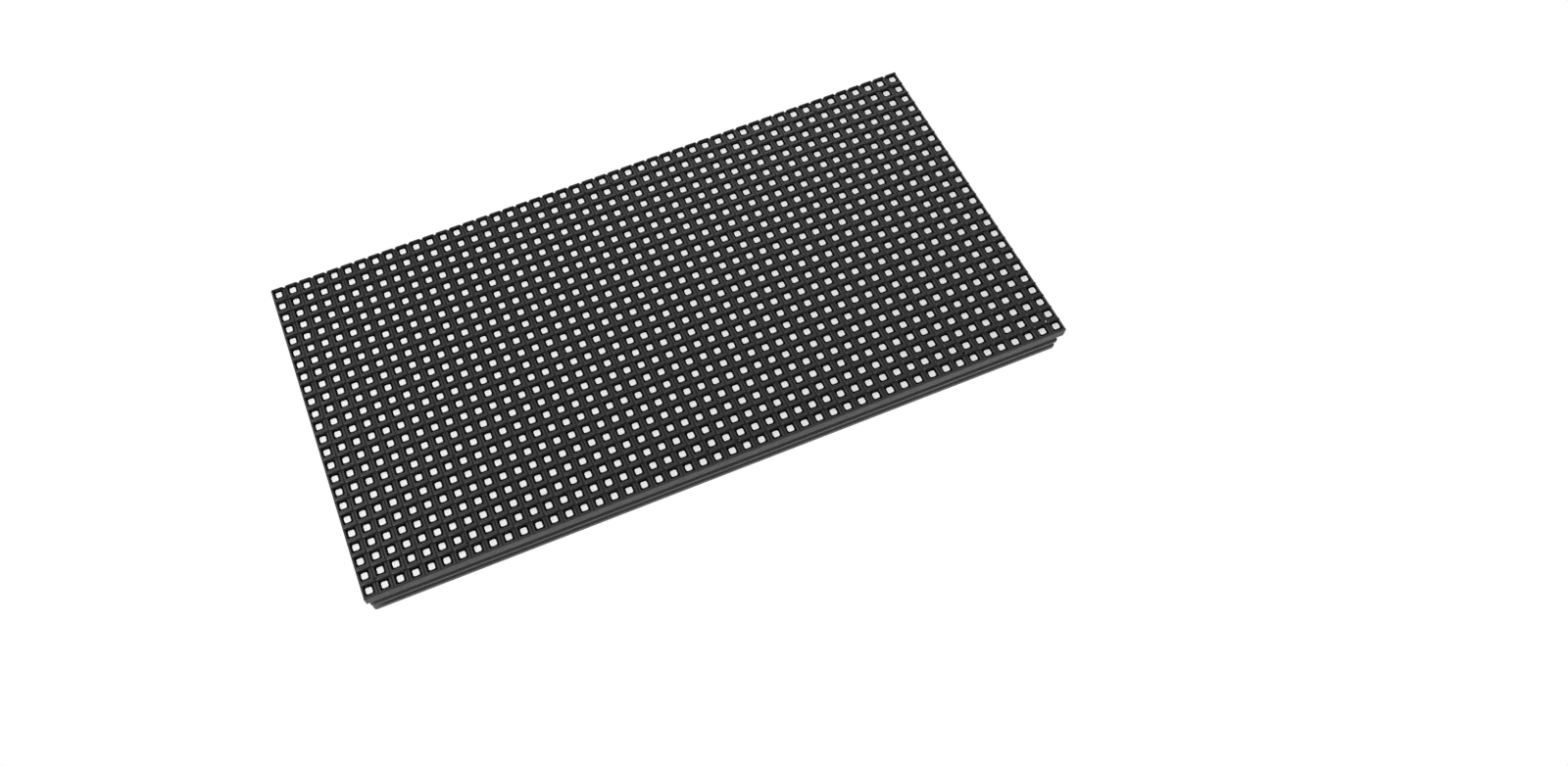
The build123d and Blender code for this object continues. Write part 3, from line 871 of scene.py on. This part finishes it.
class DISPLAY_OT_frame(Step):
    """Gives the frame its softened moulded edges and painted shade on its outer side walls"""
    bl_idname = "display.frame"
    bl_label = "Rear frame"

    def build(self):
        shell = softened("rear_frame", sizes().edge_bevel, 1, 50)
        dress(shell, "frame", "shaded frame walls")
        rim = 3 * MM
        rear = -0.3 * MM

        def on_shaded_wall(polygon):
            x, y, z = polygon.center
            return y < rear and (abs(x) > MASK_HIGH.x - rim or abs(z) > MASK_HIGH.z - rim)

        # The outer side walls, away from the rear face, get the darker copy: painted shade
        repaint(shell, 1, on_shaded_wall)
        put_on(shell, "rear_frame_moulding", "rear_frame", angle=40)


class DISPLAY_OT_gasket(Step):
    """Gives the gasket its silicone finish and a softened edge"""
    bl_idname = "display.gasket"
    bl_label = "Gasket"

    def build(self):
        soften_node("sealing_gasket", "gasket_strip", "gasket", 0.3 * MM, 60, angle=50)


class DISPLAY_OT_inserts(Step):
    """Builds the brass inserts with a bevelled flange and the thread inside"""
    bl_idname = "display.inserts"
    bl_label = "Threaded inserts"

    def build(self):
        low, high = loose_boxes("threaded_inserts")[0]
        flange = (high.x - low.x) / 2
        deep = high.y - low.y
        sleeve = flange - 0.45 * MM
        bore = 1.65 * MM
        thread = 0.5 * MM
        groove = bore + 0.22 * MM
        step = deep - 0.6 * MM
        edge = 0.12 * MM
        funnel = 0.45 * MM
        blind = 0.8 * MM
        point = 0.3 * MM
        level = deep - funnel
        profile = [(sleeve, 0), (sleeve, step), (flange, step), (flange, deep - edge),
                   (flange - edge, deep), (bore + funnel, deep), (bore, level)]
        while level - thread > blind:
            profile += [(groove, level - thread / 2), (bore, level - thread)]
            level -= thread
        profile.append((bore * 0.5, level - point))
        insert = facing(turned(profile, 32))
        inserts = copies(insert, middles("threaded_inserts", low.y))
        dress(inserts, "brass")
        put_on(inserts, "threaded_inserts_turned", "threaded_inserts")


# Rear: board and what is soldered on it

def lead(width, thickness, start, reach, rise, foot):
    """A gull-wing lead that leaves a chip towards +X and ends flat on the board."""
    clear_choice()
    bpy.ops.mesh.primitive_plane_add(size=1, location=(start, rise, 0), rotation=(0, QUARTER, 0))
    piece = bpy.context.object
    piece.scale = (width, thickness, 1)
    settle(piece)
    open_all(piece)
    knee = reach - foot
    for move_x, move_y in ((knee * 0.55, 0), (knee * 0.45, thickness / 2 - rise), (foot, 0)):
        bpy.ops.mesh.extrude_region_move(TRANSFORM_OT_translate={"value": (move_x, move_y, 0)})
    leave_edit()
    return right_way_out(piece)


def chip_body(name, width, tall, height, stand):
    """A moulded block that is widest halfway up, as it comes out of its mould."""
    body = cube(name, (-width / 2, stand, -tall / 2), (width / 2, stand + height, tall / 2))
    slope = 0.12 * MM
    pick(body, lambda polygon: abs(polygon.normal.y) > 0.5)
    bpy.ops.mesh.inset(thickness=slope)
    leave_edit()
    pick(body, lambda edge: abs(edge_way(body, edge).y) > 0.9, "EDGE")
    bpy.ops.mesh.subdivide(number_cuts=1)
    leave_edit()
    for vertex in body.data.vertices:
        x, y, z = vertex.co
        outer = abs(abs(x) - width / 2) < NEAR / 10 and abs(abs(z) - tall / 2) < NEAR / 10
        if outer and abs(y - stand - height / 2) > NEAR:
            vertex.co.x -= math.copysign(slope, x)
            vertex.co.z -= math.copysign(slope, z)
    merge_close(body)
    return right_way_out(body)


def package(name, size, lead_count, lead_pitch, lead_width, span):
    """A moulded chip with leads on both long sides, about the origin with its feet at y = 0."""
    width, height, tall = size
    stand = 0.15 * MM
    overlap = 0.1 * MM
    body = chip_body(name, width, tall, height, stand)
    ring = 0.45 * MM
    rise = 0.012 * MM
    dimple = facing(turned([(ring, 0), (ring, rise), (ring * 2 / 3, rise)], 16))
    corner = (0.8 * MM - width / 2, stand + height, tall / 2 - 0.9 * MM)
    dimple.data.transform(Matrix.Translation(corner))
    thickness = 0.15 * MM
    foot = 0.55 * MM
    right = lead(lead_width, thickness, width / 2 - overlap, (span - width) / 2 + overlap,
                 stand + height / 2, foot)
    right.data.transform(Matrix.Translation((0, 0, -(lead_count - 1) / 2 * lead_pitch)))
    repeat(right, lead_count, (0, 0, lead_pitch))
    for piece in (body, dimple, right):
        dress(piece, "chip", "tin")
    repaint(right, 1, lambda polygon: True)
    left = twin_of(right)
    left.data.transform(Matrix.Scale(-1, 4, (1, 0, 0)))
    right_way_out(left)
    return joined(name, [dimple, right, left, body])


class DISPLAY_OT_chips(Step):
    """Builds the driver, logic and row switch chips with all their leads"""
    bl_idname = "display.chips"
    bl_label = "Chips"

    def build(self):
        # Piece, nodes, leads on a side, their pitch, their width and the span over both rows, in mm
        kinds = (
            ("driver_chip_packages", ("driver_chips", "driver_chip_leads"), 12, 0.635, 0.26, 6.0),
            ("logic_chip_packages", ("logic_chips",), 10, 0.65, 0.28, 7.6),
            ("row_switch_packages", ("row_switch_chips",), 4, 1.1, 0.42, 6.0),
        )
        for name, nodes, count, pitch, width, span in kinds:
            chip = package(name, node_size(nodes[0]), count, pitch * MM, width * MM, span * MM)
            chips = copies(chip, middles(nodes[0]))
            put_on(chips, name, *nodes, angle=25)


class DISPLAY_OT_capacitors(Step):
    """Builds the electrolytic capacitors: crimped can with a dark part on its end, base and terminals"""
    bl_idname = "display.capacitors"
    bl_label = "Capacitors"

    def build(self):
        low, high = loose_boxes("capacitor_cans")[0]
        foot = low.y - BOARD_BACK
        top = high.y - BOARD_BACK
        radius = (high.x - low.x) / 2
        neck = radius * 0.93
        crimp = foot + 1.0 * MM
        profile = [(radius - 0.15 * MM, foot), (radius, foot + 0.2 * MM), (radius, crimp - 0.3 * MM),
                   (neck, crimp - 0.1 * MM), (neck, crimp + 0.1 * MM), (radius, crimp + 0.35 * MM),
                   (radius, top - 0.35 * MM), (radius - 0.12 * MM, top - 0.1 * MM),
                   (radius - 0.35 * MM, top), (radius - 0.6 * MM, top - 0.04 * MM)]
        can = facing(turned(profile, 36))
        dress(can, "can", "marking")
        split = 0.35 * radius
        dark_from = 0.36 * radius
        pick(can, lambda polygon: polygon.normal.y > 0.99 and polygon.center.y > top - 0.1 * MM)
        bpy.ops.mesh.bisect(plane_co=(split, 0, 0), plane_no=(1, 0, 0))
        leave_edit()
        repaint(can, 1, lambda polygon: polygon.normal.y > 0.9 and polygon.center.y > top - 0.06 * MM
                and polygon.center.x > dark_from)
        places = middles("capacitor_cans")
        cans = copies(can, places)
        put_on(cans, "capacitor_cans_drawn", "capacitor_cans", angle=40)
        soften_node("capacitor_bases", "capacitor_base_mouldings", "base", 0.15 * MM, 40, angle=30)
        self.add_terminals(places)

    def add_terminals(self, places):
        """Tinned strips that show on two sides of each base."""
        reach = node_size("capacitor_bases").x / 2 + 0.5 * MM
        strip = cube("terminal", (-0.4 * MM, 0, -reach), (0.4 * MM, 0.22 * MM, reach))
        round_edges(strip, 0.05 * MM, 1, lambda edge: True)
        strips = copies(strip, places)
        dress(strips, "tin")
        put_on(strips, "capacitor_terminals")


class DISPLAY_OT_chip_parts(Step):
    """Builds the small resistors and ceramic capacitors with tinned ends"""
    bl_idname = "display.chip_parts"
    bl_label = "Small parts"

    def build(self):
        for node, name, body in (("chip_resistors", "resistors_end_capped", "resistor"),
                                 ("chip_capacitors", "ceramics_end_capped", "ceramic")):
            size = node_size(node)
            part = cube(name, (-size.x / 2, 0, -size.z / 2), (size.x / 2, size.y, size.z / 2))
            cap = size.z / 2 - size.z * 0.22
            for level in (-cap, cap):
                pick(part, lambda face: True)
                bpy.ops.mesh.bisect(plane_co=(0, 0, level), plane_no=(0, 0, 1))
                leave_edit()
            dress(part, body, "tin")
            repaint(part, 1, lambda polygon: abs(polygon.center.z) > cap)
            bevelled(part, 0.06 * MM, 1, 60)
            parts = copies(part, middles(node))
            put_on(parts, name, node, angle=30)


def printed_outline(width, tall, line):
    """A flat rectangular outline that lies on the board's rear face."""
    block = cube("outline", (-width / 2, 0, -tall / 2), (width / 2, sizes().silk, tall / 2))
    return hollowed(block, line)


def printed_arrow(width, tall, x, z, turn=0.0):
    """A block arrow that points along +Z unless it is turned, flat on the board's rear face."""
    thickness = sizes().silk
    neck = tall * 0.05
    shaft = cube("shaft", (-width * 0.2, 0, -tall / 2), (width * 0.2, thickness, neck))
    head = cube("head", (-width / 2, 0, neck), (width / 2, thickness, tall / 2))
    pick(head, lambda polygon: polygon.normal.z > 0.5)
    bpy.ops.transform.resize(value=(0, 1, 1), center_override=(0, 0, tall / 2))
    leave_edit()
    merge_close(head)
    arrow = joined("arrow", [head, shaft])
    place = Matrix.Translation((x, BOARD_BACK, z)) @ Matrix.Rotation(turn, 4, "Y")
    arrow.data.transform(place)
    return arrow


class DISPLAY_OT_board(Step):
    """Finishes the board and adds its white print"""
    bl_idname = "display.board"
    bl_label = "Circuit board"

    def build(self):
        dress_node("circuit_board", "board")
        # Width, height and place of both arrows
        prints = [printed_arrow(5.7 * MM, 7.0 * MM, 44.1 * MM, -49.4 * MM),
                  printed_arrow(5.0 * MM, 7.3 * MM, -80.5 * MM, 6.3 * MM, -QUARTER)]
        # Parts with an outline, how much wider and taller it is than the part, and its line, in mm
        kinds = (
            (("chip_resistors", "chip_capacitors"), 0.9, 1.0, 0.15),
            (("power_connector",), 3.4, 1.6, 0.2),
            (("capacitor_bases",), 1.0, 1.0, 0.18),
        )
        for nodes, wider, taller, line in kinds:
            size = node_size(nodes[0])
            outline = printed_outline(size.x + wider * MM, size.z + taller * MM, line * MM)
            prints.append(copies(outline, [place for node in nodes for place in middles(node)]))
        layer = joined("board_print", prints)
        dress(layer, "print")
        put_on(layer, "board_print")


# Rear: connectors and labels

def add_pins(node, finish):
    """Square pins with a tapered tip at the rear, in the places of a node's plain ones."""
    half = node_size(node).x / 2
    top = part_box(node)[1].y - BOARD_BACK
    pin = cube("pin", (-half, 0, -half), (half, top - half, half))
    pick(pin, lambda polygon: polygon.normal.y > 0.5)
    extrude_to(half, 0.45, (0, top, 0))
    leave_edit()
    pins = copies(pin, middles(node))
    dress(pins, finish)
    put_on(pins, f"{node}_tipped", node)


def add_feet(name, places, reach, width):
    """Solder fillets round feet that lie flat on the board."""
    top = 0.45 * MM
    narrower = (0.7, 1, 0.5)
    foot = cube("foot", (-reach / 2, 0, -width / 2), (reach / 2, top, width / 2))
    pick(foot, lambda polygon: polygon.normal.y > 0.5)
    bpy.ops.transform.resize(value=narrower, center_override=(0, top, 0))
    leave_edit()
    bevelled(foot, 0.1 * MM, 2, 20)
    feet = copies(foot, places)
    dress(feet, "solder")
    put_on(feet, name)


class DISPLAY_OT_headers(Step):
    """Finishes both box headers: shroud, pins and the row of feet on each side"""
    bl_idname = "display.headers"
    bl_label = "Headers"

    def build(self):
        pin_pitch = 2.54 * MM
        for way in ("input", "output"):
            soften_node(f"{way}_header", f"{way}_header_shroud", "connector", 0.15 * MM, 50)
            add_pins(f"{way}_header_pins", "gold")
            low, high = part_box(f"{way}_header")
            centre = (low + high) / 2
            out = (high.x - low.x) / 2 + 0.7 * MM
            places = [Vector((centre.x + side * out, BOARD_BACK, centre.z + row * pin_pitch))
                      for row in (-3.5, -2.5, -1.5, -0.5, 0.5, 1.5, 2.5, 3.5) for side in (-1, 1)]
            add_feet(f"{way}_header_feet", places, 2.0 * MM, 1.1 * MM)


class DISPLAY_OT_power(Step):
    """Finishes the power connector, its pins and its feet"""
    bl_idname = "display.power"
    bl_label = "Power connector"

    def build(self):
        soften_node("power_connector", "power_connector_body", "connector", 0.2 * MM, 50)
        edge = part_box("power_connector")[0].x - 0.9 * MM
        places = [Vector((edge, BOARD_BACK, place.z)) for place in middles("power_connector_pins")]
        add_pins("power_connector_pins", "tin")
        add_feet("power_connector_feet", places, 2.4 * MM, 1.6 * MM)


class DISPLAY_OT_labels(Step):
    """Finishes the blank blue labels and the blank oval stamp"""
    bl_idname = "display.labels"
    bl_label = "Labels"

    def build(self):
        dress_node("blue_labels", "label")
        dress_node("inspection_label", "stamp")


# Stage

# Place, width in metres and power in watts of each studio light; all point at the origin
LIGHTS = {
    "key": ((0.5, -0.6, 1.1), 0.8, 5),
    "fill": ((-1.0, -0.9, 0.3), 1.0, 18),
    "rear": ((0.4, 1.0, 0.7), 1.0, 17),
}
# How brightly each kind of ray sees the surroundings
WORLD_LEVELS = {
    "Is Diffuse Ray": 0.35,
    "Is Glossy Ray": 0.6,
    "Is Transmission Ray": 1.0,
    "Is Camera Ray": 1.0,
}
FLOOR_LEVEL = -0.55
FLOOR_WIDTH = 8
# The floor's own light goes from the first share to the second between two distances from the origin
FLOOR_GLOW = (0.88, 1.0)
FLOOR_FADE = (0.6, 2.6)
# The camera, fitted to the grid of lamps in the photograph: its lens, shift, place and axes
CAMERA_LENS = 27.4
CAMERA_SHIFT = (0.10364, 0.01311)
CAMERA_PLACE = (-0.09243, -0.47415, -0.26516)
CAMERA_RIGHT = (0.929589, 0.057442, -0.364094)
CAMERA_UP = (0.349131, -0.453979, 0.819763)
CAMERA_BACK = (-0.118202, -0.889159, -0.442068)


class DISPLAY_OT_stage(Step):
    """Adds the pale floor, the white surroundings, the studio lights and the camera"""
    bl_idname = "display.stage"
    bl_label = "Stage"

    def build(self):
        self.add_floor()
        self.add_world()
        self.add_lights()
        self.add_camera()
        bpy.context.scene.view_settings.view_transform = "Standard"

    def add_floor(self):
        """A pale floor that keeps the object's shadow and turns white far away."""
        clear_choice()
        bpy.ops.mesh.primitive_plane_add(size=FLOOR_WIDTH, location=(0, 0, FLOOR_LEVEL))
        floor = bpy.context.object
        floor.name = "floor"
        finish = Finish("floor", (0.8, 0.8, 0.8), 0.9, specular=0.1)
        finish.paint(finish.mix(finish.noise(3, 1), (0.8, 0.8, 0.8), (0.84, 0.84, 0.84)))
        plain = finish.shader.outputs[0]
        ray = finish.add("ShaderNodeLightPath", {})
        seen = finish.math("MAXIMUM", ray["Is Camera Ray"], ray["Is Glossy Ray"])
        white = finish.add("ShaderNodeEmission", {"Strength": 1.0})[0]
        share = finish.scaled(finish.reach(), *FLOOR_FADE, *FLOOR_GLOW)
        pale = finish.add("ShaderNodeMixShader", {0: share, 1: plain, 2: white})[0]
        surface = finish.add("ShaderNodeMixShader", {0: seen, 1: plain, 2: pale})[0]
        finish.give(finish.nodes["Material Output"], {"Surface": surface})
        floor.data.materials.append(finish.material)

    def add_world(self):
        world = bpy.data.worlds.new("surroundings")
        bpy.context.scene.world = world
        world.use_nodes = True
        tree = Nodes(world.node_tree)
        ray = tree.add("ShaderNodeLightPath", {})
        strength = 0.0
        for kind, level in WORLD_LEVELS.items():
            strength = tree.math("MAXIMUM", strength, tree.math("MULTIPLY", ray[kind], level))
        tree.give(tree.nodes["Background"], {"Color": (1, 1, 1), "Strength": strength})

    def add_lights(self):
        for name, (place, width, power) in LIGHTS.items():
            lamp = bpy.data.lights.new(name, "AREA")
            lamp.energy = power
            lamp.size = width
            holder = bpy.data.objects.new(name, lamp)
            holder.location = place
            holder.rotation_euler = (-Vector(place)).to_track_quat("-Z", "Y").to_euler()
            bpy.context.collection.objects.link(holder)

    def add_camera(self):
        lens = bpy.data.cameras.new("camera")
        lens.sensor_width = 36
        lens.lens = CAMERA_LENS
        lens.shift_x, lens.shift_y = CAMERA_SHIFT
        lens.clip_start = 0.01
        camera = bpy.data.objects.new("camera", lens)
        turn = Matrix((CAMERA_RIGHT, CAMERA_UP, CAMERA_BACK)).transposed().to_4x4()
        camera.matrix_world = Matrix.Translation(CAMERA_PLACE) @ turn
        bpy.context.collection.objects.link(camera)
        bpy.context.scene.camera = camera


STEPS = (DISPLAY_OT_frame, DISPLAY_OT_gasket, DISPLAY_OT_inserts, DISPLAY_OT_board, DISPLAY_OT_lamps,
         DISPLAY_OT_potting, DISPLAY_OT_mask, DISPLAY_OT_louvres, DISPLAY_OT_mask_screws,
         DISPLAY_OT_chips, DISPLAY_OT_capacitors, DISPLAY_OT_chip_parts, DISPLAY_OT_headers,
         DISPLAY_OT_power, DISPLAY_OT_labels, DISPLAY_OT_stage)


class DISPLAY_PT_module(bpy.types.Panel):
    """Lists the steps, sizes and colours of the display module"""
    bl_label = "LED display module"
    bl_idname = "DISPLAY_PT_module"
    bl_space_type = "VIEW_3D"
    bl_region_type = "UI"
    bl_category = "Display"

    def draw(self, context):
        for group in (context.scene.module_sizes, context.scene.module_colours):
            box = self.layout.box()
            for name in group.__annotations__:
                box.prop(group, name)
        for step in STEPS:
            self.layout.operator(step.bl_idname)


CLASSES = (ModuleSizes, ModuleColours) + STEPS + (DISPLAY_PT_module,)


def register():
    for item in CLASSES:
        bpy.utils.register_class(item)
    bpy.types.Scene.module_sizes = bpy.props.PointerProperty(type=ModuleSizes)
    bpy.types.Scene.module_colours = bpy.props.PointerProperty(type=ModuleColours)


def unregister():
    del bpy.types.Scene.module_colours
    del bpy.types.Scene.module_sizes
    for item in reversed(CLASSES):
        bpy.utils.unregister_class(item)


def main():
    register()
    for step in STEPS:
        group, name = step.bl_idname.split(".")
        getattr(getattr(bpy.ops, group), name)()


if __name__ == "__main__":
    main()
